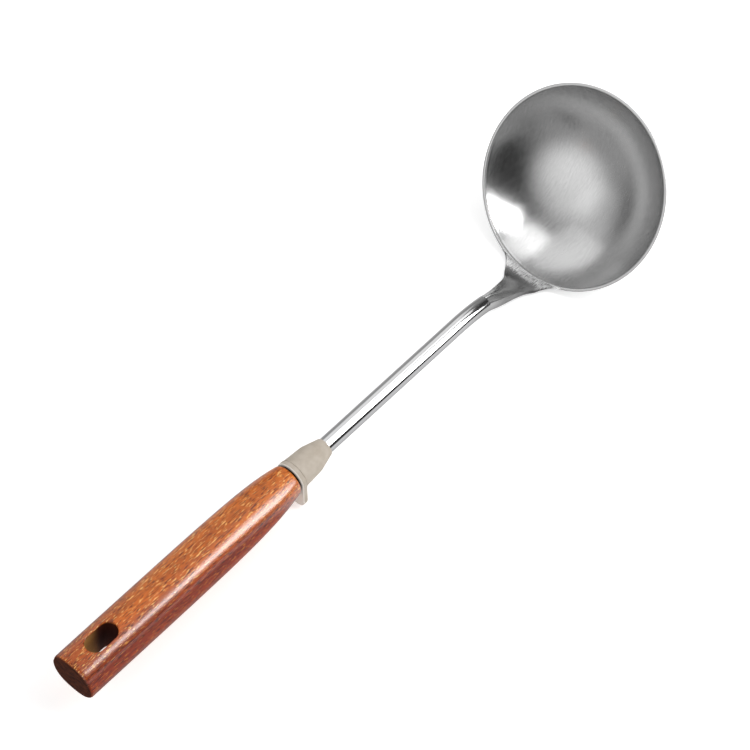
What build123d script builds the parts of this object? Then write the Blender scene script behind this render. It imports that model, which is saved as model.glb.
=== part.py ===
"""A steel soup ladle with a wooden handle, lying on a table on its bowl and its rest lug.

Millimetres, +Z up. The origin is on the table under the middle of the ladle, X runs from
the bowl to the handle's end, and the ladle is symmetric about the XZ plane.
"""

from build123d import *
import os
from math import asin, atan2, cos, degrees, exp, hypot, radians, sin, sqrt

# Bowl and its sheet steel
rim_radius = 50.0  # outside of the rim
bowl_depth = 29.0  # rim plane to the outside of the bottom
sheet = 1.2

# Stem axis, in the plane of symmetry. Lengths along it are counted from the point where
# its straight run would cross the rim plane.
stem_angle = 52.2  # between the rim plane and the stem
stem_offset = 35.1  # from the rim's centre to that crossing
stem_radius = 4.1
stem_wall = 1.0
bend_end = 61.0  # where the straight run begins
bend_radius = 82.0
neck_angle = 66.0  # direction of the stem at its weld to the neck

# Neck stations, from the rim up: height and reach of the upper face from the rim's centre,
# its direction, and the section's width, crown, side bulge, lip depth and middle depth.
# At the root the neck is dished like the bowl's wall, so the crown starts below zero.
neck_stations = [
    (-4.0, 46.2, 57.0, 46.0, -4.6, 0.02, -3.4, 1.2),
    (0.0, 48.6, 60.2, 38.0, -3.1, 0.02, -1.9, 1.2),
    (4.0, 50.8, 64.0, 28.0, -1.3, 0.05, 0.0, 1.25),
    (8.0, 52.6, 69.0, 15.8, 0.1, 0.1, 2.0, 2.2),
    (13.0, 54.2, 74.5, 11.2, 0.4, 0.2, 3.4, 3.6),
    (20.0, 55.9, 77.0, 9.3, 0.6, 0.3, 4.9, 5.3),
    (27.0, 57.3, 73.0, 8.5, 0.8, 0.5, 6.3, 7.1),
]
flare_outline = [(12.9, 3.0), (10.8, 4.9), (8.9, 6.9), (7.6, 8.9)]  # half width, height
flare_foot = 18.5  # half width where the flare runs into the rim
flare_clear = 40.0  # height past the whole neck
hollow_from = 3  # first station where the underside is hollow
hollow_depth = 14.0  # reach of the hollow's cutter, past the lips
weld_length = 3.0  # solid length of neck at the stem's weld
weld_corner = 1.15  # corners of the section at the weld, which is almost round

# Collar: a tapered ferrule with a rest lug under its rear end
collar_front = 153.2
collar_shoulder = 163.2
collar_rear = 176.6
collar_front_radius = 4.8
collar_shoulder_radius = 7.3
collar_rear_radius = 8.2
lug_reach = 17.5  # from the stem axis down to the lug's tip
lug_thickness = 2.9
lug_front = collar_rear - lug_thickness
lug_corner = 4.5
lug_root = 2.0  # rounding between the lug and the collar
lug_web = 5.0  # half width of the web in front of the lug

# Handle
handle_front = 177.4
handle_end = 317.0
spigot_front = 164.4
spigot_radius = 6.4
tang_end = 236.0
bore_end = 238.0
glue_front = 166.0
glue_layer = 0.3
slot_centre = 297.4
slot_length = 17.5
slot_width = 9.6

# The handle swells from a round front, and its top turns from round to a flat crown
# between two arrises.
front_radius = 8.1
full_width = 24.6
full_above = 10.5  # from the stem axis to the top
full_below = 11.0
swell_length = 17.0
squaring_length = 30.0
full_corner = 0.45  # how far the underside is from an ellipse towards a square
section_count = 12
end_edge = 1.2

# The bowl is part of a sphere.
sphere_radius = (rim_radius**2 + bowl_depth**2) / (2 * bowl_depth)
sphere_height = sphere_radius - bowl_depth  # its centre above the rim plane
inner_radius = sphere_radius - sheet
outer_span = degrees(asin(rim_radius / sphere_radius))
inner_span = degrees(atan2(sqrt(inner_radius**2 - sphere_height**2), sphere_height))


def on_axis(length, above=0.0):
    """Reach and height, from the rim's centre, of a point along the stem axis."""
    angle = radians(stem_angle)
    reach = stem_offset + length * cos(angle) - above * sin(angle)
    return reach, length * sin(angle) + above * cos(angle)


# The ladle lies on the bowl's sphere and on the front edge of the lug's tip.
tip_reach, tip_height = on_axis(lug_front, -lug_reach)
tip_rise = tip_height - sphere_height
lie = atan2(tip_rise, tip_reach) + asin(sphere_radius / hypot(tip_rise, tip_reach))
rise = radians(stem_angle) - lie  # the stem's slope up from the table

# The rim's frame: x towards the neck, z out of the bowl's opening.
out = Vector(cos(lie), 0, -sin(lie))
up = Vector(sin(lie), 0, cos(lie))

# The origin is under the middle of the ladle's length.
end_reach, end_height = on_axis(handle_end, -full_below)
end_x = end_reach * out.X + (end_height - sphere_height) * up.X
half_length = (end_x + sphere_radius) / 2
sphere_centre = Vector(sphere_radius - half_length, 0, sphere_radius)
rim = Plane(origin=sphere_centre - up * sphere_height, x_dir=out, z_dir=up)
side = Plane(origin=rim.origin, x_dir=out, z_dir=(0, -1, 0))


def across(reach, height, direction):
    """Plane across the neck or the stem: x to one side, y out of its upper face."""
    angle = radians(direction)
    along = out * cos(angle) + up * sin(angle)
    return Plane(origin=rim.origin + out * reach + up * height, x_dir=(0, 1, 0), z_dir=along)


def across_axis(length):
    """Plane across the stem's straight run and the handle."""
    return across(*on_axis(length), stem_angle)


# Side view of the stem's straight run and the handle: x along the axis, y above it.
along = Plane(origin=across_axis(0).origin, x_dir=across_axis(0).z_dir, z_dir=(0, -1, 0))
axis = Axis(along.origin, along.x_dir)


# The stem's bend leads from the straight run down to the weld at the neck.
bend_start = across_axis(bend_end).origin
bend = radians(neck_angle - stem_angle)
mid_angle = radians((neck_angle + stem_angle) / 2)
bend_chord = 2 * bend_radius * sin(bend / 2)
weld_point = bend_start - (out * cos(mid_angle) + up * sin(mid_angle)) * bend_chord
weld_reach = (weld_point - rim.origin).dot(out)
weld_height = (weld_point - rim.origin).dot(up)
weld = across(weld_reach, weld_height, neck_angle)
weld_top = Plane(origin=weld.origin + weld.y_dir * stem_radius, x_dir=weld.x_dir, z_dir=weld.z_dir)


# Bowl: a stamped spherical shell with a plain ground rim.
with BuildPart() as bowl:
    with BuildSketch(side):
        with BuildLine():
            outside = CenterArc((0, sphere_height), sphere_radius, -90, outer_span)
            inside = CenterArc((0, sphere_height), inner_radius, -90, inner_span)
            Line(outside @ 0, inside @ 0)
            Line(outside @ 1, inside @ 1)
        make_face()
    revolve(axis=Axis(rim.origin, rim.z_dir))
bowl.part.label = "bowl"


def neck_section(width, crown, bulge, lip, middle):
    """Outline across the neck: crowned upper face, two flanges and an underside."""
    half = width / 2
    shoulder = half - bulge
    waist = -(crown + lip) / 2
    with BuildLine() as outline:
        ThreePointArc((-shoulder, -crown), (0, 0), (shoulder, -crown))
        ThreePointArc((shoulder, -crown), (half, waist), (shoulder, -lip))
        ThreePointArc((shoulder, -lip), (0, -middle), (-shoulder, -lip))
        ThreePointArc((-shoulder, -lip), (-half, waist), (-shoulder, -crown))
    make_face(outline.edges())


def hollow_section(width, crown):
    """Outline of the hollow under the neck, one sheet below its upper face."""
    half = width / 2 - sheet
    roof = -crown - sheet
    with BuildLine() as outline:
        Polyline((-half, roof), (-half, -hollow_depth), (half, -hollow_depth), (half, roof))
        ThreePointArc((half, roof), (0, -sheet), (-half, roof))
    make_face(outline.edges())


# Neck: welded to the rim by its flared end, and drawn in to meet the round stem.
with BuildPart() as neck:
    for height, reach, direction, width, crown, bulge, lip, middle in neck_stations:
        with BuildSketch(across(reach, height, direction)):
            neck_section(width, crown, bulge, lip, middle)
    with BuildSketch(weld_top):
        diameter = 2 * stem_radius
        neck_section(diameter, weld_corner, weld_corner, diameter - weld_corner, diameter)
    loft()
    # The root is ground off flush with the rim, and the flare runs into it tangentially.
    split(bisect_by=rim, keep=Keep.TOP)
    with BuildSketch(Plane(origin=rim.origin, x_dir=(0, 1, 0), z_dir=out)):
        with BuildLine():
            left = Spline((-flare_foot, 0), *[(-x, y) for x, y in flare_outline], tangents=[(1, 0), (0.5, 1)])
            right = Spline((flare_foot, 0), *flare_outline, tangents=[(-1, 0), (-0.5, 1)])
            Polyline(left @ 1, (-flare_foot, flare_clear), (flare_foot, flare_clear), right @ 1)
            Line(left @ 0, right @ 0)
        make_face()
    extrude(amount=2 * rim_radius, mode=Mode.INTERSECT)
    # The underside is hollow from the flare almost to the weld.
    for height, reach, direction, width, crown, bulge, lip, middle in neck_stations[hollow_from:]:
        with BuildSketch(across(reach, height, direction)):
            hollow_section(width, crown)
    with BuildSketch(weld_top.offset(-weld_length)):
        hollow_section(2 * stem_radius, weld_corner)
    loft(mode=Mode.SUBTRACT)
neck.part.label = "neck"

# Stem: a polished tube, bent near the neck, that runs on into the handle as its tang.
with BuildPart() as stem:
    with BuildLine() as stem_path:
        TangentArc(bend_start, weld_point, tangent=-axis.direction)
        Line(bend_start, across_axis(tang_end).origin)
    with BuildSketch(across_axis(tang_end)):
        Circle(stem_radius)
        Circle(stem_radius - stem_wall, mode=Mode.SUBTRACT)
    sweep(path=stem_path.line)
stem.part.label = "stem"

# Collar: moulded, with a bore for the stem, a socket for the handle and the rest lug.
with BuildPart() as collar:
    with BuildSketch(along):
        with BuildLine():
            web_front = Line((lug_front, -collar_rear_radius - lug_root), (lug_front, 0))
            flare = JernArc(web_front @ 0, (0, 1), lug_root, 75)
            Line(flare @ 1, (collar_shoulder, 0))
            Line((collar_shoulder, 0), web_front @ 1)
        make_face()
    extrude(amount=lug_web, both=True)
    with BuildSketch(across_axis(lug_front)):
        with Locations((0, -lug_reach)):
            lug_outline = Rectangle(2 * collar_rear_radius, lug_reach, align=(Align.CENTER, Align.MIN))
        fillet(lug_outline.vertices().group_by(Axis.Y)[0], lug_corner)
    extrude(amount=lug_thickness)
    with BuildSketch(along) as ferrule:
        with BuildLine():
            Polyline(
                (collar_front, 0),
                (collar_front, collar_front_radius),
                (collar_shoulder, collar_shoulder_radius),
                (collar_rear, collar_rear_radius),
                (collar_rear, 0),
                (collar_front, 0),
            )
        make_face()
    revolve(axis=axis)
    with BuildSketch(across_axis(collar_front)):
        Circle(stem_radius)
    extrude(amount=collar_rear - collar_front, mode=Mode.SUBTRACT)
    with BuildSketch(across_axis(spigot_front)):
        Circle(spigot_radius)
    extrude(amount=collar_rear - spigot_front, mode=Mode.SUBTRACT)
collar.part.label = "collar"


def handle_section(place):
    """Outline across the handle: crowned top, two flattened sides and a round underside."""
    swell = 1 - exp(-(place - handle_front) / swell_length)
    squared = 1 - exp(-(((place - handle_front) / squaring_length) ** 2))
    half = front_radius + (full_width / 2 - front_radius) * swell
    above = front_radius + (full_above - front_radius) * swell
    below = front_radius + (full_below - front_radius) * swell
    arris_x = 0.74 * half
    arris_y = above * (0.67 + 0.12 * squared)
    cheek_x = half * (0.919 - 0.024 * squared)
    cheek_y = 0.395 * above
    fullness = 2 / (2 + full_corner * squared)
    corner_x = half * sqrt(0.5) ** fullness
    corner_y = -below * sqrt(0.5) ** fullness
    with BuildLine() as outline:
        ThreePointArc((-arris_x, arris_y), (0, above), (arris_x, arris_y))
        ThreePointArc((arris_x, arris_y), (cheek_x, cheek_y), (half, 0))
        Spline((half, 0), (corner_x, corner_y), (0, -below), tangents=[(0, -1), (-1, 0)])
        Spline((0, -below), (-corner_x, corner_y), (-half, 0), tangents=[(-1, 0), (0, 1)])
        ThreePointArc((-half, 0), (-cheek_x, cheek_y), (-arris_x, arris_y))
    make_face(outline.edges())


# Handle: one piece of wood, with a spigot in the collar, a blind bore and a hanging slot.
with BuildPart() as handle:
    for step in range(section_count + 1):
        place = handle_front + (handle_end - handle_front) * step / section_count
        with BuildSketch(across_axis(place)):
            handle_section(place)
    loft()
    fillet(handle.faces().sort_by(axis)[-1].edges(), end_edge)
    with BuildSketch(across_axis(spigot_front)):
        Circle(spigot_radius)
    extrude(amount=handle_front - spigot_front)
    with BuildSketch(across_axis(spigot_front)):
        Circle(stem_radius + glue_layer)
    extrude(amount=bore_end - spigot_front, mode=Mode.SUBTRACT)
    with BuildSketch(Plane(origin=across_axis(slot_centre).origin, x_dir=along.x_dir, z_dir=along.y_dir)):
        SlotOverall(slot_length, slot_width)
    extrude(amount=slot_length, both=True, mode=Mode.SUBTRACT)
handle.part.label = "handle"

# Adhesive: a thin sleeve between the tang and the handle's bore.
with BuildPart() as tang_adhesive:
    with BuildSketch(across_axis(glue_front)):
        Circle(stem_radius + glue_layer)
        Circle(stem_radius, mode=Mode.SUBTRACT)
    extrude(amount=tang_end - glue_front)
tang_adhesive.part.label = "tang_adhesive"

os.makedirs("parts", exist_ok=True)
export_step(bowl.part, "parts/bowl.step")
export_step(neck.part, "parts/neck.step")
export_step(stem.part, "parts/stem.step")
export_step(collar.part, "parts/collar.step")
export_step(handle.part, "parts/handle.step")
export_step(tang_adhesive.part, "parts/tang_adhesive.step")
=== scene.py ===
from math import asin, atan2, cos, degrees, exp, hypot, pi, radians, sin, sqrt

import bmesh
import bpy
from mathutils import Matrix, Vector


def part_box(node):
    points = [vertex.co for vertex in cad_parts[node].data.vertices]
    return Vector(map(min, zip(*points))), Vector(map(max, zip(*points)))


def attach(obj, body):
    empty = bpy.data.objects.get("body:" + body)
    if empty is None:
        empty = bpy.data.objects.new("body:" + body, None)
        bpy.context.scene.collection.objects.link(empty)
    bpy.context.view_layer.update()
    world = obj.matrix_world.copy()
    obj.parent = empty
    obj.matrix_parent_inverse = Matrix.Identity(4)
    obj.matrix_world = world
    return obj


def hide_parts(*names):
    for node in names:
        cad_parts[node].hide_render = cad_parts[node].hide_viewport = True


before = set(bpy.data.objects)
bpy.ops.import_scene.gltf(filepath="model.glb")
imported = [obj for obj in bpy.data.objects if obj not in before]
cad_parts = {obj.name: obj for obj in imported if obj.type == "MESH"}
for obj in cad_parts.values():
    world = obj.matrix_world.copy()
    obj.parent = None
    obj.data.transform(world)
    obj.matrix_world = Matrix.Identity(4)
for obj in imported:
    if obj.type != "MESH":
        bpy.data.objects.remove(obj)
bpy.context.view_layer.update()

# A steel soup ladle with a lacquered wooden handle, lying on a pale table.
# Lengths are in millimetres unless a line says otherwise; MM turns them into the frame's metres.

MM = 0.001
SHARP_ANGLE = radians(40)  # edges that turn by more than this stay crisp
WELD_DISTANCE = 1e-7  # metres; closer points of a mesh become one
SIDE = Vector((0, 1, 0))

# Bowl
RIM_RADIUS = 50.0
BOWL_DEPTH = 29.0
SHEET = 1.2
RIM_EDGE = 0.28  # rounding of the ground rim
SPHERE_RADIUS = (RIM_RADIUS**2 + BOWL_DEPTH**2) / (2 * BOWL_DEPTH)
SPHERE_HEIGHT = SPHERE_RADIUS - BOWL_DEPTH
INNER_RADIUS = SPHERE_RADIUS - SHEET
INNER_RIM = sqrt(INNER_RADIUS**2 - SPHERE_HEIGHT**2)

# Stem axis, whose lengths start where its straight run would cross the rim plane
STEM_ANGLE = radians(52.2)
STEM_OFFSET = 35.1
STEM_RADIUS = 4.1
STEM_WALL = 1.0
BEND_END = 61.0  # where the straight run meets the bend
BEND_RADIUS = 82.0
NECK_ANGLE = radians(66)  # direction of the stem at its weld to the neck

# Neck stations: height above the rim plane, reach of the upper face from the rim's centre,
# its direction, then half width, crown and lip depth of the section there
NECK_ROWS = [
    (0.0, 48.6, 60.2, 18.5, -3.0, 1.2),
    (4.0, 50.8, 64.0, 12.0, -0.9, 1.3),
    (8.0, 52.6, 69.0, 7.9, 0.1, 2.0),
    (13.0, 54.2, 74.5, 5.6, 0.4, 3.4),
    (20.0, 55.9, 77.0, 4.65, 0.6, 4.9),
    (27.0, 57.3, 73.0, 4.25, 0.8, 6.3),
]

WELD_FOLD = (0.9, 7.4)  # crown and lip depth where the channel meets the stem
FLARE_FOOT = 18.5  # half width where the flare runs into the rim
FLARE_FILLET = 7.5
FLARE_OPENING = 0.35  # 1 would make the flare's fillet a circle, 0 a parabola
FLARE_BLEND = 5.0  # heights between which the fillet gives way to the stations
FLARE_TOP = 8.0

# Collar, along the stem axis
COLLAR_FRONT = 153.2
COLLAR_SHOULDER = 163.2
COLLAR_REAR = 176.6
COLLAR_RADII = (4.8, 7.3, 8.2)
LUG_REACH = 17.5
LUG_THICKNESS = 2.9
LUG_TAPER = 0.8  # how much thicker the lug is at its root
LUG_CORNER = 4.5
LUG_FRONT = COLLAR_REAR - LUG_THICKNESS
NOSE_EDGE = 0.55  # roundings of the collar's front and rear edges
REAR_EDGE = 0.5
LUG_CONTACT = 174.2  # where its tip rests on the table

# Handle, along the stem axis
HANDLE_FRONT = 177.4
HANDLE_END = 317.0
SPIGOT_FRONT = 164.4
SPIGOT_RADIUS = 6.4
TANG_END = 236.0
BORE_END = 238.0
GLUE_LAYER = 0.3
FRONT_RADIUS = 8.1
FULL_WIDTH = 24.6
FULL_ABOVE = 10.5
FULL_BELOW = 11.0
SWELL_LENGTH = 17.0
SQUARING_LENGTH = 30.0
FULL_CORNER = 0.45
END_EDGE = 1.6
FRONT_EDGE = 0.9
SLOT_CENTRE = 297.4
SLOT_LENGTH = 17.5
SLOT_WIDTH = 9.6
SLOT_EDGE = 0.35
OPENING_LENGTH = 12.0  # half sizes of the patch of the handle's grid that holds the slot
OPENING_WIDTH = 7.0
ARRIS_PART = 0.74  # how far out the arrises lie, as a part of the half width
ARRIS_SMOOTHING = 10  # how many times the two arrises are smoothed


def on_axis(length, above=0.0):
    """Reach and height, from the rim's centre, of a point along the stem axis."""
    reach = STEM_OFFSET + length * cos(STEM_ANGLE) - above * sin(STEM_ANGLE)
    return reach, length * sin(STEM_ANGLE) + above * cos(STEM_ANGLE)


# The ladle lies on the bowl's sphere and the lug's tip, which sets the rim's tilt.
tip_reach, tip_height = on_axis(LUG_CONTACT, -LUG_REACH)
tip_rise = tip_height - SPHERE_HEIGHT
LIE = atan2(tip_rise, tip_reach) + asin(SPHERE_RADIUS / hypot(tip_rise, tip_reach))
OUT = Vector((cos(LIE), 0, -sin(LIE)))
UP = Vector((sin(LIE), 0, cos(LIE)))
ALONG = OUT * cos(STEM_ANGLE) + UP * sin(STEM_ANGLE)
ABOVE = UP * cos(STEM_ANGLE) - OUT * sin(STEM_ANGLE)
SLOPE = STEM_ANGLE - LIE

bowl_low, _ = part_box("bowl")
SPHERE_CENTRE = Vector((bowl_low.x / MM + SPHERE_RADIUS, 0, SPHERE_RADIUS))
RIM_CENTRE = SPHERE_CENTRE - UP * SPHERE_HEIGHT
AXIS_START = RIM_CENTRE + OUT * STEM_OFFSET


def at_rim(reach, side, height):
    """A point from its coordinates in the rim's frame."""
    return RIM_CENTRE + OUT * reach + SIDE * side + UP * height


def at_axis(length, side, above):
    """A point from its coordinates along, beside and above the stem axis."""
    return AXIS_START + ALONG * length + SIDE * side + ABOVE * above


# ---------------------------------------------------------------- mesh helpers


class Shell:
    """Collects points and faces of one piece, in millimetres."""

    def __init__(self):
        self.points = []
        self.faces = []

    def ring(self, points):
        start = len(self.points)
        self.points.extend(points)
        return list(range(start, len(self.points)))

    def bridge(self, first, second, skip=None):
        """Faces between two closed rings of the same length."""
        count = len(first)
        for i in range(count):
            if skip and skip(i):
                continue
            j = (i + 1) % count
            self.faces.append((first[i], first[j], second[j], second[i]))

    def fan(self, ring, centre, flip=False):
        """Closes a ring with triangles round one point."""
        tip = self.ring([centre])[0]
        for i in range(len(ring)):
            j = (i + 1) % len(ring)
            self.faces.append((ring[j], ring[i], tip) if flip else (ring[i], ring[j], tip))

    def build(self, name, node, material):
        """Makes the piece, smooth but for its sharp edges, with its normals facing out."""
        mesh = bpy.data.meshes.new(name)
        mesh.from_pydata([tuple(p * MM) for p in self.points], [], self.faces)
        work = bmesh.new()
        work.from_mesh(mesh)
        bmesh.ops.remove_doubles(work, verts=work.verts, dist=WELD_DISTANCE)
        bmesh.ops.dissolve_degenerate(work, edges=work.edges, dist=WELD_DISTANCE)
        bmesh.ops.recalc_face_normals(work, faces=work.faces)
        for face in work.faces:
            face.smooth = True
        work.to_mesh(mesh)
        work.free()
        mesh.set_sharp_from_angle(angle=SHARP_ANGLE)
        mesh.materials.append(material)
        piece = bpy.data.objects.new(name, mesh)
        bpy.context.scene.collection.objects.link(piece)
        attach(piece, "root")
        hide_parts(node)


def arc(radius, centre, start, end, count):
    """Points on an arc in a flat sketch, ends included; angles in degrees."""
    turn = [radians(start + (end - start) * i / count) for i in range(count + 1)]
    return [(centre[0] + radius * cos(a), centre[1] + radius * sin(a)) for a in turn]


def smooth_step(value, low, high):
    """0 below low, 1 above high and an even curve between."""
    t = min(max((value - low) / (high - low), 0), 1)
    return t * t * (3 - 2 * t)


def through(table, place, column):
    """A smooth curve through one column of a table of stations, at a place on the first."""
    spots = [row[0] for row in table]
    values = [row[column] for row in table]
    last = len(spots) - 1
    k = max(i for i in range(last) if place >= spots[i] or i == 0)

    def slope(i):
        if i == 0:
            return (values[1] - values[0]) / (spots[1] - spots[0])
        if i == last:
            return (values[last] - values[last - 1]) / (spots[last] - spots[last - 1])
        return (values[i + 1] - values[i - 1]) / (spots[i + 1] - spots[i - 1])

    gap = spots[k + 1] - spots[k]
    t = (place - spots[k]) / gap
    a, b = slope(k) * gap, slope(k + 1) * gap
    return (
        values[k] * (2 * t**3 - 3 * t**2 + 1)
        + a * (t**3 - 2 * t**2 + t)
        + values[k + 1] * (3 * t**2 - 2 * t**3)
        + b * (t**3 - t**2)
    )


# ---------------------------------------------------------------- materials
# Shaders see the ladle in metres, so distances in this part are in metres.


def new_material(name):
    material = bpy.data.materials.new(name)
    material.use_nodes = True
    tree = material.node_tree
    return material, tree, tree.nodes["Principled BSDF"]


def object_point(tree):
    return tree.nodes.new("ShaderNodeTexCoord").outputs["Object"]


def turned_about_y(tree, angle, origin=(0, 0, 0)):
    """Object coordinates turned about Y, from an origin given in the turned axes, in metres."""
    turned = tree.nodes.new("ShaderNodeMapping")
    turned.inputs["Rotation"].default_value = (0, angle, 0)
    turned.inputs["Location"].default_value = [-part for part in origin]
    tree.links.new(object_point(tree), turned.inputs["Vector"])
    return turned.outputs["Vector"]


def stretched(tree, vector, scale):
    """A vector with each of its parts scaled."""
    made = tree.nodes.new("ShaderNodeVectorMath")
    made.operation = "MULTIPLY"
    made.inputs[1].default_value = scale
    tree.links.new(vector, made.inputs[0])
    return made.outputs[0]


def parts_of(tree, vector):
    """The three parts of a vector."""
    made = tree.nodes.new("ShaderNodeSeparateXYZ")
    tree.links.new(vector, made.inputs[0])
    return made.outputs


def along_handle(tree, stretch=(1, 1, 1)):
    """Object coordinates turned in line with the stem axis, each part scaled."""
    return stretched(tree, turned_about_y(tree, SLOPE), stretch)


def in_handle_line(point):
    """A point of the ladle in the axes of along_handle, in metres."""
    return Matrix.Rotation(SLOPE, 3, "Y") @ (point * MM)


def in_rim_frame(tree):
    """Object coordinates with the rim's centre as the origin and the bowl's axis as Z."""
    return turned_about_y(tree, -LIE, Matrix.Rotation(-LIE, 3, "Y") @ (RIM_CENTRE * MM))


def noise(tree, vector, scale, detail=3.0, roughness=0.5, distortion=0.0):
    made = tree.nodes.new("ShaderNodeTexNoise")
    made.inputs["Scale"].default_value = scale
    made.inputs["Detail"].default_value = detail
    made.inputs["Roughness"].default_value = roughness
    made.inputs["Distortion"].default_value = distortion
    tree.links.new(vector, made.inputs["Vector"])
    return made.outputs["Fac"]


def remap(tree, value, low, high, new_low=0.0, new_high=1.0):
    made = tree.nodes.new("ShaderNodeMapRange")
    made.interpolation_type = "SMOOTHSTEP"
    for name, number in (("From Min", low), ("From Max", high), ("To Min", new_low), ("To Max", new_high)):
        made.inputs[name].default_value = number
    tree.links.new(value, made.inputs["Value"])
    return made.outputs["Result"]


def mix(tree, factor, first, second, blend="MIX"):
    """Mixes two colours, each a socket or a plain colour."""
    made = tree.nodes.new("ShaderNodeMix")
    made.data_type = "RGBA"
    made.blend_type = blend
    sockets = [s for s in made.inputs if s.type == "RGBA"]
    for socket, value in ((made.inputs[0], factor), (sockets[0], first), (sockets[1], second)):
        if isinstance(value, (tuple, float, int)):
            socket.default_value = value
        else:
            tree.links.new(value, socket)
    return [s for s in made.outputs if s.type == "RGBA"][0]


def maths(tree, operation, first, second):
    made = tree.nodes.new("ShaderNodeMath")
    made.operation = operation
    for socket, value in zip(made.inputs, (first, second)):
        if isinstance(value, (float, int)):
            socket.default_value = value
        else:
            tree.links.new(value, socket)
    return made.outputs[0]


def bump(tree, shader, height, strength, distance):
    made = tree.nodes.new("ShaderNodeBump")
    made.inputs["Strength"].default_value = strength
    made.inputs["Distance"].default_value = distance
    tree.links.new(height, made.inputs["Height"])
    tree.links.new(made.outputs["Normal"], shader.inputs["Normal"])


# painted shade: the weld's tone lies between the neck's painted shade and the stem's own steel
WELD_SHADE = (0.48, 0.48, 0.48, 1)  # steel where neck and stem meet


def past_weld(tree, start, end):
    """0 before one distance past the weld of neck and stem, 1 after another, in mm."""
    length = parts_of(tree, along_handle(tree))[0]
    reach, height, _ = bend_point(NECK_ANGLE - STEM_ANGLE)
    weld = in_handle_line(at_rim(reach, 0, height)).x
    return remap(tree, length, weld + start * MM, weld + end * MM)


def brushed_steel():
    """Satin bowl: fine hairlines laid along the handle's direction, with faint larger smudges."""
    material, tree, shader = new_material("brushed_bowl")
    where = in_rim_frame(tree)
    hair = noise(tree, stretched(tree, where, (300, 2600, 300)), 1.0, detail=4)
    cloud = noise(tree, where, 45.0, detail=3)
    shade = mix(tree, remap(tree, hair, 0.3, 0.7), (0.52, 0.52, 0.52, 1), (0.60, 0.60, 0.60, 1))
    veil = remap(tree, cloud, 0.35, 0.7, 0.0, 0.6)
    tree.links.new(mix(tree, veil, shade, (0.60, 0.60, 0.60, 1)), shader.inputs["Base Color"])
    smudge = remap(tree, cloud, 0.3, 0.7, 0.0, 0.03)
    rough = maths(tree, "ADD", remap(tree, hair, 0.25, 0.75, 0.20, 0.25), smudge)
    tree.links.new(rough, shader.inputs["Roughness"])
    shader.inputs["Metallic"].default_value = 1.0
    bump(tree, shader, hair, 0.03, 0.00008)
    return material


def satin_steel():
    """Neck: hairlines along the handle's direction from the grinding of its welds."""
    material, tree, shader = new_material("satin_neck")
    hair = noise(tree, along_handle(tree, (150, 2600, 2600)), 1.0, detail=2)
    # it is polished more and more towards the stem, and its painted shade fades there to the weld's tone
    polish_and_shade_fade = past_weld(tree, -12, 0)
    # painted shade: the neck's steel gets a darker tone than the bowl's steel, standing in for the dark it
    # reflects
    shade = mix(tree, remap(tree, hair, 0.3, 0.7), (0.28, 0.28, 0.28, 1), (0.38, 0.38, 0.38, 1))
    # the weld at the rim is ground back in coarse pale strokes
    rise = parts_of(tree, in_rim_frame(tree))[2]
    strokes = noise(tree, along_handle(tree, (500, 2200, 300)), 1.0, detail=2)
    ground = remap(tree, rise, 0.0058, 0.0022)
    ground = maths(tree, "MULTIPLY", ground, remap(tree, strokes, 0.35, 0.6, 0.35, 1.0))
    shade = mix(tree, ground, shade, (0.85, 0.85, 0.85, 1))
    tree.links.new(mix(tree, polish_and_shade_fade, shade, WELD_SHADE), shader.inputs["Base Color"])
    rough = remap(tree, hair, 0.25, 0.75, 0.16, 0.22)
    rough = maths(tree, "ADD", rough, maths(tree, "MULTIPLY", ground, 0.25))
    rough = maths(tree, "SUBTRACT", rough, maths(tree, "MULTIPLY", polish_and_shade_fade, 0.05))
    tree.links.new(rough, shader.inputs["Roughness"])
    shader.inputs["Metallic"].default_value = 1.0
    bump(tree, shader, hair, 0.06, 0.0001)
    return material


def polished_steel():
    """Stem: mirror polish with faint drawn lines and a trace of handling."""
    material, tree, shader = new_material("polished_stem")
    drawn = noise(tree, along_handle(tree, (12, 900, 900)), 1.0, detail=2)
    smear = noise(tree, along_handle(tree, (30, 120, 120)), 1.0, detail=3)
    shade = mix(tree, remap(tree, drawn, 0.3, 0.7), (0.60, 0.60, 0.61, 1), (0.66, 0.66, 0.66, 1))
    # the grinding of the weld leaves its first centimetres satin, and their colour is darkened to the weld's
    # tone, carrying the neck's painted shade onto the stem
    clear = past_weld(tree, 2, 20)
    tree.links.new(mix(tree, clear, WELD_SHADE, shade), shader.inputs["Base Color"])
    rough = remap(tree, smear, 0.35, 0.75, 0.05, 0.12)
    ground = maths(tree, "MULTIPLY", maths(tree, "SUBTRACT", 1.0, clear), 0.09)
    tree.links.new(maths(tree, "ADD", rough, ground), shader.inputs["Roughness"])
    shader.inputs["Metallic"].default_value = 1.0
    bump(tree, shader, drawn, 0.02, 0.0002)
    return material


def moulded_collar():
    """Collar: matte taupe moulding with a fine spark-eroded texture."""
    material, tree, shader = new_material("collar")
    where = object_point(tree)
    grain = noise(tree, where, 2600.0, detail=2)
    mottle = noise(tree, where, 220.0, detail=3)
    shade = mix(tree, remap(tree, mottle, 0.3, 0.7), (0.44, 0.38, 0.31, 1), (0.50, 0.44, 0.37, 1))
    # a pale band painted along the rear edge: a painted highlight for the light its rounding catches
    length = parts_of(tree, along_handle(tree))[0]
    rear_x = in_handle_line(at_axis(COLLAR_REAR, 0, 0)).x
    painted_rear_highlight = remap(tree, length, rear_x - 0.0007, rear_x - 0.0004, 0.0, 0.8)
    tree.links.new(mix(tree, painted_rear_highlight, shade, (0.80, 0.76, 0.70, 1)), shader.inputs["Base Color"])
    tree.links.new(remap(tree, grain, 0.3, 0.7, 0.5, 0.62), shader.inputs["Roughness"])
    bump(tree, shader, grain, 0.25, 0.00012)
    return material


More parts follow.
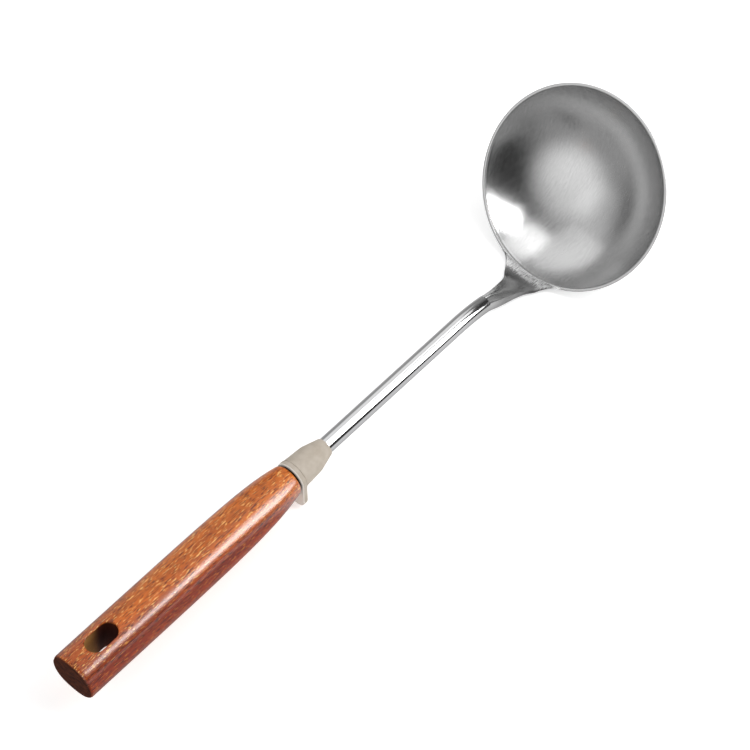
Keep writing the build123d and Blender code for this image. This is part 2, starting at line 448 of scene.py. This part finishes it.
def lacquered_wood():
    """Red-brown hardwood: streaks, dark pores and golden flecks under a clear lacquer."""
    material, tree, shader = new_material("wood")
    streaks = noise(tree, along_handle(tree, (9, 160, 160)), 1.0, detail=5, roughness=0.6, distortion=0.3)
    broad = noise(tree, along_handle(tree, (7, 38, 38)), 1.0, detail=2)
    pores = noise(tree, along_handle(tree, (260, 2300, 2300)), 1.0, detail=1)
    flecks = noise(tree, along_handle(tree, (330, 1900, 1900)), 1.0, detail=2, distortion=0.4)
    body = mix(tree, remap(tree, streaks, 0.3, 0.7), (0.30, 0.040, 0.003, 1), (0.68, 0.150, 0.012, 1))
    body = mix(tree, remap(tree, broad, 0.35, 0.75, 0.0, 0.5), body, (0.80, 0.24, 0.022, 1))
    body = mix(tree, remap(tree, flecks, 0.575, 0.67, 0.0, 0.9), body, (1.0, 0.55, 0.16, 1))
    dark = remap(tree, pores, 0.55, 0.65, 0.0, 0.85)
    body = mix(tree, dark, body, (0.09, 0.012, 0.002, 1))
    # painted shade: the cheeks are multiplied darker and redder, standing in for the shade on the handle's
    # sides
    length, side, level = parts_of(tree, along_handle(tree))
    aside = maths(tree, "ABSOLUTE", side, 0.0)
    cheek = remap(tree, aside, 0.0075, 0.0102, 0.0, 1.0)
    body = mix(tree, cheek, body, (0.52, 0.26, 0.10, 1), blend="MULTIPLY")
    # the sawn end shows its end grain, darker
    end_x = in_handle_line(at_axis(HANDLE_END, 0, 0)).x
    end = remap(tree, length, end_x - 0.0009, end_x - 0.0001)
    # the slot was cut last, so its wall is bare tan wood; towards the collar it is painted near black, a
    # painted shadow where that end of the slot lies in shade
    slot_x = in_handle_line(at_axis(SLOT_CENTRE, 0, 0)).x
    top_z = in_handle_line(at_axis(SLOT_CENTRE, 0, FULL_ABOVE)).z
    off = maths(tree, "ABSOLUTE", maths(tree, "SUBTRACT", length, slot_x), 0.0)
    inside = maths(tree, "MULTIPLY", remap(tree, off, 0.00895, 0.0088), remap(tree, aside, 0.005, 0.00485))
    inside = maths(tree, "MULTIPLY", inside, remap(tree, level, top_z - 0.0004, top_z - 0.0018))
    wall = mix(tree, streaks, (0.16, 0.055, 0.012, 1), (0.62, 0.34, 0.10, 1))
    # painted shadow: the wall darkens towards the collar's end of the slot
    far = remap(tree, length, slot_x + 0.0045, slot_x - 0.0035)
    wall = mix(tree, far, wall, (0.05, 0.008, 0.003, 1))
    body = mix(tree, inside, body, wall)
    rings = noise(tree, along_handle(tree, (1, 300, 900)), 1.0, detail=4)
    face = mix(tree, remap(tree, rings, 0.3, 0.7), (0.025, 0.004, 0.001, 1), (0.085, 0.017, 0.003, 1))
    body = mix(tree, end, body, face)
    # painted shadow: the wood in the gap behind the collar is painted near black, for the shade that falls
    # between collar and handle
    front_x = in_handle_line(at_axis(HANDLE_FRONT, 0, 0)).x
    front = remap(tree, length, front_x + 0.0007, front_x + 0.0001)
    body = mix(tree, front, body, (0.012, 0.004, 0.002, 1))
    tree.links.new(body, shader.inputs["Base Color"])
    gloss = remap(tree, streaks, 0.3, 0.7, 0.30, 0.40)
    bare = maths(tree, "MAXIMUM", end, inside)
    rough = maths(tree, "MAXIMUM", gloss, maths(tree, "MULTIPLY", bare, 0.8))
    tree.links.new(rough, shader.inputs["Roughness"])
    # the lacquer has built up along the arrises, is thin elsewhere, and the bare cuts and the painted-shadow
    # gap behind the collar have none
    thick = maths(tree, "SUBTRACT", remap(tree, aside, 0.0042, 0.0080), remap(tree, aside, 0.0098, 0.0108))
    lacquer = maths(tree, "ADD", maths(tree, "MULTIPLY", thick, 0.8), 0.2)
    cut = maths(tree, "MAXIMUM", bare, front)
    lacquer = maths(tree, "MULTIPLY", lacquer, maths(tree, "SUBTRACT", 1.0, cut))
    tree.links.new(lacquer, shader.inputs["Coat Weight"])
    shader.inputs["Coat Roughness"].default_value = 0.24
    shader.inputs["Coat IOR"].default_value = 2.0
    shader.inputs["Specular IOR Level"].default_value = 0.15
    bump(tree, shader, maths(tree, "SUBTRACT", streaks, dark), 0.25, 0.00025)
    return material


def cured_adhesive():
    """The sleeve of epoxy round the tang, which the handle hides."""
    material, tree, shader = new_material("adhesive")
    where = object_point(tree)
    cloud = noise(tree, where, 300.0)
    tree.links.new(
        mix(tree, cloud, (0.40, 0.34, 0.24, 1), (0.50, 0.44, 0.33, 1)), shader.inputs["Base Color"]
    )
    shader.inputs["Roughness"].default_value = 0.45
    return material


# ---------------------------------------------------------------- steel pieces


def make_bowl(material):
    """Spherical shell with a ground rim, turned round the rim's axis."""
    span_in = atan2(INNER_RIM - RIM_EDGE, SPHERE_HEIGHT)
    span_out = atan2(RIM_RADIUS - RIM_EDGE, SPHERE_HEIGHT)
    rows = 56
    inside = []
    outside = []
    for i in range(1, rows + 1):
        angle = span_in * i / rows
        inside.append((INNER_RADIUS * sin(angle), SPHERE_HEIGHT - INNER_RADIUS * cos(angle)))
        angle = span_out * (rows + 1 - i) / rows
        outside.append((SPHERE_RADIUS * sin(angle), SPHERE_HEIGHT - SPHERE_RADIUS * cos(angle)))
    inside = [(r, min(h, -RIM_EDGE)) for r, h in inside]
    outside = [(r, min(h, -RIM_EDGE)) for r, h in outside]
    rim = arc(RIM_EDGE, (inside[-1][0] + RIM_EDGE, -RIM_EDGE), 180, 90, 5)
    rim += arc(RIM_EDGE, (outside[0][0] - RIM_EDGE, -RIM_EDGE), 90, 0, 5)
    shell = Shell()
    count = 224
    rings = []
    for radius, height in inside + rim + outside:
        turn = [2 * pi * k / count for k in range(count)]
        rings.append(shell.ring([at_rim(radius * cos(a), radius * sin(a), height) for a in turn]))
    for first, second in zip(rings, rings[1:]):
        shell.bridge(first, second)
    shell.fan(rings[0], at_rim(0, 0, SPHERE_HEIGHT - INNER_RADIUS), flip=True)
    shell.fan(rings[-1], at_rim(0, 0, SPHERE_HEIGHT - SPHERE_RADIUS))
    shell.build("bowl_shell", "bowl", material)


def bend_point(turn):
    """Reach, height and direction on the stem's bend, turn radians before its end."""
    reach, height = on_axis(BEND_END)
    centre = (reach + BEND_RADIUS * sin(STEM_ANGLE), height - BEND_RADIUS * cos(STEM_ANGLE))
    angle = STEM_ANGLE + turn
    return centre[0] - BEND_RADIUS * sin(angle), centre[1] + BEND_RADIUS * cos(angle), angle


def make_stem(material):
    """Bent tube, from its weld at the neck to the end of its tang."""
    shell = Shell()
    count = 96
    bent = 28  # steps round the bend and along the straight run
    straight = 24
    stations = [bend_point((NECK_ANGLE - STEM_ANGLE) * (1 - i / bent)) for i in range(bent + 1)]
    for i in range(1, straight + 1):
        stations.append((*on_axis(BEND_END + (TANG_END - BEND_END) * i / straight), STEM_ANGLE))

    def circle(station, radius):
        reach, height, angle = station
        turns = [2 * pi * k / count for k in range(count)]
        return [
            at_rim(
                reach - radius * sin(a) * sin(angle), radius * cos(a), height + radius * sin(a) * cos(angle)
            )
            for a in turns
        ]

    outer = [shell.ring(circle(s, STEM_RADIUS)) for s in stations]
    inner = [shell.ring(circle(s, STEM_RADIUS - STEM_WALL)) for s in reversed(stations)]
    loop = outer + inner
    for first, second in zip(loop, loop[1:] + loop[:1]):
        shell.bridge(first, second)
    shell.build("stem_tube", "stem", material)


def neck_half_width(table, height):
    """Half width of the neck: a round fillet off the rim, then the narrowing flare."""
    narrow = through(table, height, 3)
    if height > FLARE_TOP:
        return narrow
    drawn = sqrt(max(2 * FLARE_FILLET * height - FLARE_OPENING * height * height, 0))
    share = smooth_step(height, FLARE_BLEND, FLARE_TOP)
    return (FLARE_FOOT - drawn) * (1 - share) + narrow * share


def neck_section(half, crown, lip, rounding, solid):
    """Closed outline, as (side, depth), of the folded sheet on its way to the round stem."""
    across = 20  # faces across the sheet and down each flange
    down = 8

    def drawn_in(side, depth, push_out=True):
        """Moves a point towards the stem's round; one already inside moves only if pushed."""
        flat = hypot(side, depth - STEM_RADIUS)
        if flat < STEM_RADIUS and not push_out:
            return side, depth
        factor = 1 + (STEM_RADIUS / max(flat, 1e-6) - 1) * rounding
        return side * factor, STEM_RADIUS + (depth - STEM_RADIUS) * factor

    def on_circle(turn):
        return STEM_RADIUS * sin(turn), STEM_RADIUS * (1 - cos(turn))

    top = [half * (2 * i / across - 1) for i in range(across + 1)]
    top = [drawn_in(x, crown * (x / half) ** 2) for x in top]
    low = crown + max(lip - max(crown, 0), SHEET)
    inner = half - SHEET
    roof = min(crown + SHEET, low)
    outside = [(half, crown + (low - crown) * i / down) for i in range(1, down + 1)]
    inside = [(inner, low + (roof - low) * i / down) for i in range(down + 1)]
    ceiling = [inner * (1 - 2 * i / across) for i in range(1, across)]
    ceiling = [(x, crown * (x / half) ** 2 + SHEET) for x in ceiling]
    under = outside + inside + ceiling + [(-x, d) for x, d in reversed(outside + inside)]
    under = [drawn_in(x, d, push_out=False) for x, d in under]
    # where the hollow has closed, the same points lie round the stem's underside
    shoulder = atan2(half, STEM_RADIUS - crown)
    tip = max(min((STEM_RADIUS - low) / STEM_RADIUS, 1), -1)
    lip_turn = pi / 2 - asin(tip)
    flank = [shoulder + (lip_turn - shoulder) * i / down for i in range(1, down + 1)]
    count = 2 * len(inside) + len(ceiling)
    belly = [lip_turn + 2 * (pi - lip_turn) * i / (count + 1) for i in range(1, count + 1)]
    closed = flank + belly + [2 * pi - turn for turn in reversed(flank)]
    closed = [on_circle(turn) for turn in closed]
    for (x, d), (cx, cd) in zip(under, closed):
        top.append((x * (1 - solid) + cx * solid, d * (1 - solid) + cd * solid))
    return top


def make_neck(material):
    """Flared sheet that leaves the bowl's wall in line with it and folds into a channel."""
    weld_reach, weld_height, weld_angle = bend_point(NECK_ANGLE - STEM_ANGLE)
    top_reach = weld_reach - STEM_RADIUS * sin(weld_angle)
    top_height = weld_height + STEM_RADIUS * cos(weld_angle)
    table = NECK_ROWS + [(top_height, top_reach, degrees(NECK_ANGLE), STEM_RADIUS, *WELD_FOLD)]
    shell = Shell()
    rings = []
    rows = 60
    for row in range(rows + 1):
        # rows crowd towards the rim, where the flare runs out along it
        part = row / rows
        height = top_height * (0.45 * part * part + 0.55 * part**1.3)
        reach, direction, crown, lip = (through(table, height, k) for k in (1, 2, 4, 5))
        angle = radians(direction)
        # the first sections lie flatter, so that they follow the rim
        lean = smooth_step(height, 0.0, 6.0)
        section = neck_section(
            neck_half_width(table, height),
            crown,
            max(lip, SHEET),
            smooth_step(height, 15.0, top_height - 0.5),
            smooth_step(height, top_height - 8.0, top_height - 2.0),
        )
        ring = []
        for side, depth in section:
            outward = depth * sin(angle) if lean > 0 else depth
            ring.append(at_rim(reach + outward, side, height - depth * cos(angle) * lean))
        rings.append(shell.ring(ring))
    for first, second in zip(rings, rings[1:]):
        shell.bridge(first, second)
    shell.faces.append(tuple(rings[0]))
    shell.fan(rings[-1], at_rim(weld_reach, 0, weld_height))
    shell.build("neck_flare", "neck", material)


# ---------------------------------------------------------------- collar


def lug_radius(turn):
    """Reach of the lug's outline from the stem axis, turn radians from straight down."""
    half = COLLAR_RADII[2]
    c, s = abs(cos(turn)), abs(sin(turn))
    # the upper half, and the last few degrees before level, are plain and round
    if cos(turn) <= 0 or s >= c * 8:
        return half
    side = half / max(s, 1e-6)
    tip = LUG_REACH / max(c, 1e-6)
    reach = min(side, tip)
    x, y = reach * s, reach * c
    cx, cy = half - LUG_CORNER, LUG_REACH - LUG_CORNER
    if x > cx and y > cy:
        along = cx * s + cy * c
        reach = along + sqrt(max(along**2 - cx**2 - cy**2 + LUG_CORNER**2, 0))
    return reach


def rounded(centre, radius, start, end, count):
    """Points on an edge's rounding as (length, radius), in degrees from the outward side."""
    turn = [radians(start + (end - start) * i / count) for i in range(count + 1)]
    return [(centre[0] + radius * sin(a), centre[1] + radius * cos(a)) for a in turn]


def between(first, second, count):
    """Evenly spaced points after the first and up to the second."""
    return [
        tuple(a + (b - a) * i / count for a, b in zip(first, second)) for i in range(1, count + 1)
    ]


def collar_profile(reach):
    """Lengthwise outline, as (length, radius), where the lug reaches that far."""
    nose, shoulder, rear = COLLAR_RADII
    points = [(COLLAR_FRONT, STEM_RADIUS + 0.02)]
    points += rounded((COLLAR_FRONT + NOSE_EDGE, nose - NOSE_EDGE), NOSE_EDGE, -90, 0, 4)
    points += between(points[-1], (COLLAR_SHOULDER - 1.2, shoulder - 0.22), 12)
    # the shoulder is a soft corner
    points += [(COLLAR_SHOULDER - 0.4, shoulder - 0.1), (COLLAR_SHOULDER + 0.5, shoulder)]

    def cone(length):
        share = (length - COLLAR_SHOULDER) / (COLLAR_REAR - COLLAR_SHOULDER)
        return shoulder + (rear - 0.1 - shoulder) * share

    # a fillet leads up to the lug, whose front face leans
    fillet = min(2.2, max(reach - cone(LUG_FRONT), 0) * 0.6)
    start = LUG_FRONT - fillet - LUG_TAPER * smooth_step(reach, 9.5, LUG_REACH)
    first = COLLAR_SHOULDER + 0.5
    lengths = [first + (start - first) * i / 8 for i in range(1, 9)]
    points += [(length, cone(length)) for length in lengths]
    for i in range(1, 9):
        turn = radians(90 * i / 8)
        points.append((start + fillet * sin(turn), cone(start) + fillet * (1 - cos(turn))))
    low = cone(start) + fillet
    points += between((start + fillet, low), (LUG_FRONT, max(reach - REAR_EDGE, low)), 8)
    return points


def make_collar(material):
    """Tapered ferrule whose rear edge grows down into a U-shaped rest lug."""
    shell = Shell()
    count = 176
    columns = []
    for k in range(count):
        turn = 2 * pi * k / count
        reach = lug_radius(turn)
        edge = reach - REAR_EDGE
        outer = collar_profile(reach)
        outer += rounded((LUG_FRONT + REAR_EDGE, edge), REAR_EDGE, -90, 0, 3)
        outer += rounded((COLLAR_REAR - REAR_EDGE, edge), REAR_EDGE, 0, 90, 3)
        outer += between((COLLAR_REAR, edge), (COLLAR_REAR, SPIGOT_RADIUS + 0.5), 6)
        outer += [
            (COLLAR_REAR - 0.15, SPIGOT_RADIUS + 0.15),
            (COLLAR_REAR - 0.5, SPIGOT_RADIUS),
            (SPIGOT_FRONT, SPIGOT_RADIUS),
            (SPIGOT_FRONT, STEM_RADIUS),
        ]
        columns.append([at_axis(s, r * sin(turn), -r * cos(turn)) for s, r in outer])
    rows = len(columns[0])
    rings = [shell.ring([column[row] for column in columns]) for row in range(rows)]
    for first, second in zip(rings, rings[1:] + rings[:1]):
        shell.bridge(first, second)
    shell.build("collar_moulding", "collar", material)


# ---------------------------------------------------------------- handle

TOP_CELLS = 28
CHEEK_CELLS = 12
LOW_CELLS = 44


def handle_size(place):
    """Half width, height above and below the axis, and how square the section is."""
    swell = 1 - exp(-(place - HANDLE_FRONT) / SWELL_LENGTH)
    squared = 1 - exp(-(((place - HANDLE_FRONT) / SQUARING_LENGTH) ** 2))
    half = FRONT_RADIUS + (FULL_WIDTH / 2 - FRONT_RADIUS) * swell
    above = FRONT_RADIUS + (FULL_ABOVE - FRONT_RADIUS) * swell
    below = FRONT_RADIUS + (FULL_BELOW - FRONT_RADIUS) * swell
    return half, above, below, squared


def crown_height(place, side):
    """Height of the crowned top above the axis."""
    half, above, _, squared = handle_size(place)
    arris_x = ARRIS_PART * half
    drop = above * (0.33 - 0.12 * squared)
    radius = (arris_x**2 + drop**2) / (2 * drop)
    return above - radius + sqrt(radius**2 - side**2)


def belly_depth(place, side):
    """Depth of the underside below the axis."""
    half, _, below, squared = handle_size(place)
    power = 2 + FULL_CORNER * squared
    return below * (1 - min(abs(side) / half, 1) ** power) ** (1 / power)


def handle_outline(place):
    """Closed section: crown from -Y to +Y, cheek, underside and the other cheek."""
    half, above, below, squared = handle_size(place)
    arris_x = ARRIS_PART * half
    arris_y = crown_height(place, arris_x)
    cheek_x = half * (0.919 - 0.024 * squared)
    cheek_y = 0.395 * above
    top = [(arris_x * (2 * i / TOP_CELLS - 1), 0) for i in range(TOP_CELLS + 1)]
    top = [(x, crown_height(place, x)) for x, _ in top]
    cheek = []
    for i in range(1, CHEEK_CELLS + 1):
        t = i / CHEEK_CELLS
        bow = 4 * t * (1 - t)
        x = arris_x + (half - arris_x) * t + (cheek_x - (arris_x + half) / 2) * bow
        y = arris_y * (1 - t) + (cheek_y - arris_y / 2) * bow
        cheek.append((x, y))
    low = []
    power = 2 + FULL_CORNER * squared
    for i in range(1, LOW_CELLS):
        angle = pi * i / LOW_CELLS
        c, s = cos(angle), sin(angle)
        x = half * abs(c) ** (2 / power) * (1 if c > 0 else -1)
        low.append((x, -below * s ** (2 / power)))
    outline = top + cheek + low + [(-x, y) for x, y in reversed(cheek)]
    # the two arrises are worn round
    for _ in range(ARRIS_SMOOTHING):
        previous = list(outline)
        count = len(outline)
        for arris in (0, TOP_CELLS):
            for offset in range(-5, 6):
                i = (arris + offset) % count
                a, b, c = previous[i - 1], previous[i], previous[(i + 1) % count]
                outline[i] = ((a[0] + 2 * b[0] + c[0]) / 4, (a[1] + 2 * b[1] + c[1]) / 4)
    return outline


def obround(offset, part):
    """A point on the slot's outline, grown by offset, at a part of its way round."""
    run = (SLOT_LENGTH - SLOT_WIDTH) / 2
    radius = SLOT_WIDTH / 2 + offset
    quarter = SLOT_WIDTH / 2 * pi / 2 + run
    step = (part % 1) * 4
    turn, walk = int(step), (step - int(step)) * quarter
    if turn % 2:
        walk = quarter - walk
    bend = SLOT_WIDTH / 2 * pi / 2
    if walk < bend:
        angle = walk / (SLOT_WIDTH / 2)
        x, y = run + radius * cos(angle), radius * sin(angle)
    else:
        x, y = run - (walk - bend), radius
    return (x, -x, -x, x)[turn], (y, y, -y, -y)[turn]


def slot_patch(shell, border, surface, sign):
    """Rings from the border of an opening in the handle's grid in to the slot's edge."""
    spots = [shell.points[i] - AXIS_START for i in border]
    flat = [(p.dot(ALONG) - SLOT_CENTRE, p.dot(SIDE)) for p in spots]
    reach = [atan2(b / OPENING_WIDTH, a / OPENING_LENGTH) / (2 * pi) % 1 for a, b in flat]
    last = list(border)
    for k in range(1, 9):
        t = k / 8
        ring = []
        for (a, b), part in zip(flat, reach):
            x, y = obround(SLOT_EDGE, part)
            length, side = a + (x - a) * t, b + (y - b) * t
            ring.append(at_axis(SLOT_CENTRE + length, side, sign * surface(SLOT_CENTRE + length, side)))
        ring = shell.ring(ring)
        shell.bridge(last, ring)
        last = ring
    for a in (15, 30, 45, 60, 75, 90):
        offset = SLOT_EDGE * (1 - sin(radians(a)))
        sink = SLOT_EDGE * (1 - cos(radians(a)))
        ring = []
        for part in reach:
            x, y = obround(offset, part)
            wide = obround(SLOT_EDGE, part)
            level = surface(SLOT_CENTRE + wide[0], wide[1]) - sink
            ring.append(at_axis(SLOT_CENTRE + x, y, sign * level))
        ring = shell.ring(ring)
        shell.bridge(last, ring)
        last = ring
    return last


def make_handle(material):
    """Turned and flatted wood with a spigot, a blind bore and a hanging slot."""
    shell = Shell()

    def scaled(place, inset):
        half, _, below, _ = handle_size(place)
        factor = (half - inset) / half
        tall = (below - inset) / below
        return [(x * factor, y * tall) for x, y in handle_outline(place)]

    def level_ring(length, outline):
        return shell.ring([at_axis(length, x, y) for x, y in outline])

    def round_ring(length, radius, pattern):
        return level_ring(length, [(radius * x / hypot(x, y), radius * y / hypot(x, y)) for x, y in pattern])

    front = handle_outline(HANDLE_FRONT + 0.01)
    rings = [
        round_ring(BORE_END, (STEM_RADIUS + GLUE_LAYER) * 0.5, front),
        round_ring(BORE_END, STEM_RADIUS + GLUE_LAYER, front),
        round_ring(SPIGOT_FRONT, STEM_RADIUS + GLUE_LAYER, front),
        round_ring(SPIGOT_FRONT, SPIGOT_RADIUS, front),
        round_ring(HANDLE_FRONT, SPIGOT_RADIUS, front),
    ]
    for a in (0, 18, 36, 54, 72, 90):
        inset = FRONT_EDGE * (1 - sin(radians(a)))
        length = HANDLE_FRONT + FRONT_EDGE * (1 - cos(radians(a)))
        rings.append(level_ring(length, scaled(length + 0.01, inset)))
    opening_from = SLOT_CENTRE - OPENING_LENGTH
    opening_to = SLOT_CENTRE + OPENING_LENGTH
    places = []
    start = HANDLE_FRONT + FRONT_EDGE
    for i in range(1, 57):
        t = i / 56
        places.append(start + (opening_from - start) * (0.35 * t * t + 0.65 * t))
    first_open = len(rings) + len(places) - 1
    places += [opening_from + (opening_to - opening_from) * i / 16 for i in range(1, 17)]
    last_open = len(rings) + len(places) - 1
    flat_end = HANDLE_END - END_EDGE
    places += [opening_to + (flat_end - opening_to) * i / 5 for i in range(1, 6)]
    for place in places:
        rings.append(level_ring(place, handle_outline(place)))
    for a in (15, 30, 45, 60, 75, 90):
        length = flat_end + END_EDGE * sin(radians(a))
        rings.append(level_ring(length, scaled(length, END_EDGE * (1 - cos(radians(a))))))
    for inset in (0.25, 0.5, 0.75):
        outline = scaled(HANDLE_END, END_EDGE)
        rings.append(level_ring(HANDLE_END, [(x * (1 - inset), y * (1 - inset)) for x, y in outline]))

    pattern = handle_outline(SLOT_CENTRE)
    inner_columns = [i for i, (x, _) in enumerate(pattern) if abs(x) <= OPENING_WIDTH]
    low_start = TOP_CELLS + CHEEK_CELLS
    top_columns = [i for i in inner_columns if i <= TOP_CELLS]
    low_columns = [i for i in inner_columns if low_start < i < low_start + LOW_CELLS]

    def in_opening(i):
        return top_columns[0] <= i < top_columns[-1] or low_columns[0] <= i < low_columns[-1]

    for row, (first, second) in enumerate(zip(rings, rings[1:])):
        shell.bridge(first, second, in_opening if first_open <= row < last_open else None)
    shell.fan(rings[0], at_axis(BORE_END, 0, 0), flip=True)
    shell.fan(rings[-1], at_axis(HANDLE_END, 0, 0))

    def border(columns):
        rows = range(first_open, last_open + 1)
        near = [rings[first_open][c] for c in columns]
        far = [rings[last_open][c] for c in columns]
        right = [rings[r][columns[-1]] for r in rows]
        left = [rings[r][columns[0]] for r in rows]
        return near + right[1:] + list(reversed(far))[1:] + list(reversed(left))[1:-1]

    top_edge = slot_patch(shell, border(top_columns), crown_height, 1)
    low_edge = slot_patch(shell, border(low_columns), belly_depth, -1)

    # the slot's wall joins the two edges, whose points differ in number
    def parts(edge):
        spots = [shell.points[i] - AXIS_START for i in edge]
        return [atan2(p.dot(SIDE), p.dot(ALONG) - SLOT_CENTRE) % (2 * pi) for p in spots]

    top = sorted(zip(parts(top_edge), top_edge))
    low = sorted(zip(parts(low_edge), low_edge))
    i = j = 0
    while i < len(top) or j < len(low):
        next_top = top[(i + 1) % len(top)][0] + (2 * pi if i + 1 >= len(top) else 0)
        next_low = low[(j + 1) % len(low)][0] + (2 * pi if j + 1 >= len(low) else 0)
        a, b = top[i % len(top)][1], low[j % len(low)][1]
        if j >= len(low) or (i < len(top) and next_top <= next_low):
            shell.faces.append((a, top[(i + 1) % len(top)][1], b))
            i += 1
        else:
            shell.faces.append((a, low[(j + 1) % len(low)][1], b))
            j += 1
    shell.build("handle_wood", "handle", material)


make_bowl(brushed_steel())
make_neck(satin_steel())
make_stem(polished_steel())
make_collar(moulded_collar())
make_handle(lacquered_wood())
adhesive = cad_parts["tang_adhesive"]
adhesive.data.materials.clear()
adhesive.data.materials.append(cured_adhesive())


# ---------------------------------------------------------------- camera, floor and light

# The camera's place and turn were solved from the rim's ellipse, in the rim's frame.
CAMERA_RIGHT = (-0.40807, 0.74028, -0.53428)
CAMERA_DOWN = (0.82528, 0.54935, 0.13084)
CAMERA_AHEAD = (0.39037, -0.38754, -0.83512)
RIM_IN_VIEW = (94.185, -89.320, 1501.925)  # right, down and ahead of the camera
LENS = 151.2
FLOOR_HALF = 3.0  # metres
FLOOR_DROP = 0.0002  # metres; keeps the floor clear of the ladle


def from_rim(turn):
    return OUT * turn[0] + SIDE * turn[1] + UP * turn[2]


def add_camera():
    right, down, ahead = from_rim(CAMERA_RIGHT), from_rim(CAMERA_DOWN), from_rim(CAMERA_AHEAD)
    spot = RIM_CENTRE - right * RIM_IN_VIEW[0] - down * RIM_IN_VIEW[1] - ahead * RIM_IN_VIEW[2]
    camera = bpy.data.objects.new("camera", bpy.data.cameras.new("camera"))
    bpy.context.scene.collection.objects.link(camera)
    turn = Matrix((right, -down, -ahead)).transposed()
    camera.matrix_world = Matrix.Translation(spot * MM) @ turn.to_4x4()
    camera.data.sensor_width = 36
    camera.data.lens = LENS
    camera.data.clip_end = 10
    bpy.context.scene.camera = camera


def add_floor():
    mesh = bpy.data.meshes.new("floor")
    work = bmesh.new()
    bmesh.ops.create_grid(work, x_segments=2, y_segments=2, size=FLOOR_HALF)
    work.to_mesh(mesh)
    work.free()
    floor = bpy.data.objects.new("floor", mesh)
    bpy.context.scene.collection.objects.link(floor)
    floor.location = (0, 0, -FLOOR_DROP)
    material, _, shader = new_material("floor")
    shader.inputs["Base Color"].default_value = (0.8, 0.8, 0.8, 1)
    shader.inputs["Roughness"].default_value = 0.9
    shader.inputs["Emission Color"].default_value = (1, 1, 1, 1)
    shader.inputs["Emission Strength"].default_value = 0.5
    mesh.materials.append(material)
    # the steel mirrors the room's dim surroundings, not a white table
    floor.visible_glossy = False


def add_light(name, direction, distance, size, power):
    """A soft box that faces the middle of the ladle from a direction."""
    data = bpy.data.lights.new(name, "AREA")
    data.shape = "RECTANGLE"
    data.size, data.size_y = size
    data.energy = power
    lamp = bpy.data.objects.new(name, data)
    bpy.context.scene.collection.objects.link(lamp)
    lamp.location = Vector(direction).normalized() * distance
    lamp.rotation_mode = "QUATERNION"
    lamp.rotation_quaternion = (-Vector(direction)).to_track_quat("-Z", "Y")


# Soft glows of the room: direction, cosines where each starts and is full, strength
GLOWS = [
    ((0.80, 0.12, 0.59), 0.68, 0.99, 0.85),
    ((0.60, -0.58, 0.55), 0.86, 0.99, 0.40),
    ((1.00, 0.00, -0.15), 0.30, 0.95, 0.36),
    ((0.05, -0.45, 0.89), 0.65, 0.98, 0.35),
    ((-0.50, -0.84, 0.20), 0.40, 0.95, 0.35),
]


def add_world():
    """A dim room: a paler table side, dark at the horizon, and soft glows."""
    world = bpy.data.worlds.new("world")
    bpy.context.scene.world = world
    world.use_nodes = True
    tree = world.node_tree
    sky = tree.nodes["Background"]
    facing = tree.nodes.new("ShaderNodeTexCoord").outputs["Generated"]
    x, y, z = parts_of(tree, facing)

    def glow(axis, low, high, strength):
        along = tree.nodes.new("ShaderNodeVectorMath")
        along.operation = "DOT_PRODUCT"
        along.inputs[1].default_value = Vector(axis).normalized()
        tree.links.new(facing, along.inputs[0])
        return remap(tree, along.outputs["Value"], low, high, 0.0, strength)

    table = maths(tree, "ADD", maths(tree, "MULTIPLY", y, 0.4), maths(tree, "MULTIPLY", x, -0.8))
    table = maths(tree, "MAXIMUM", maths(tree, "ADD", table, 0.2), 0.02)
    table = maths(tree, "MULTIPLY", table, remap(tree, z, -0.02, -0.2))
    total = maths(tree, "ADD", table, 0.04)
    for axis, low, high, strength in GLOWS:
        total = maths(tree, "ADD", total, glow(axis, low, high, strength))
    tree.links.new(total, sky.inputs["Strength"])
    sky.inputs["Color"].default_value = (1, 1, 1, 1)


add_camera()
add_floor()
add_world()
add_light("key", (-0.48, 0.60, 0.66), 1.2, (0.42, 1.10), 11)
add_light("window", (-0.42, 0.02, 0.90), 1.2, (0.50, 0.80), 1.9)
add_light("fill", (-0.25, -0.55, 0.80), 1.3, (1.2, 1.2), 2.4)
bpy.context.scene.view_settings.view_transform = "Standard"
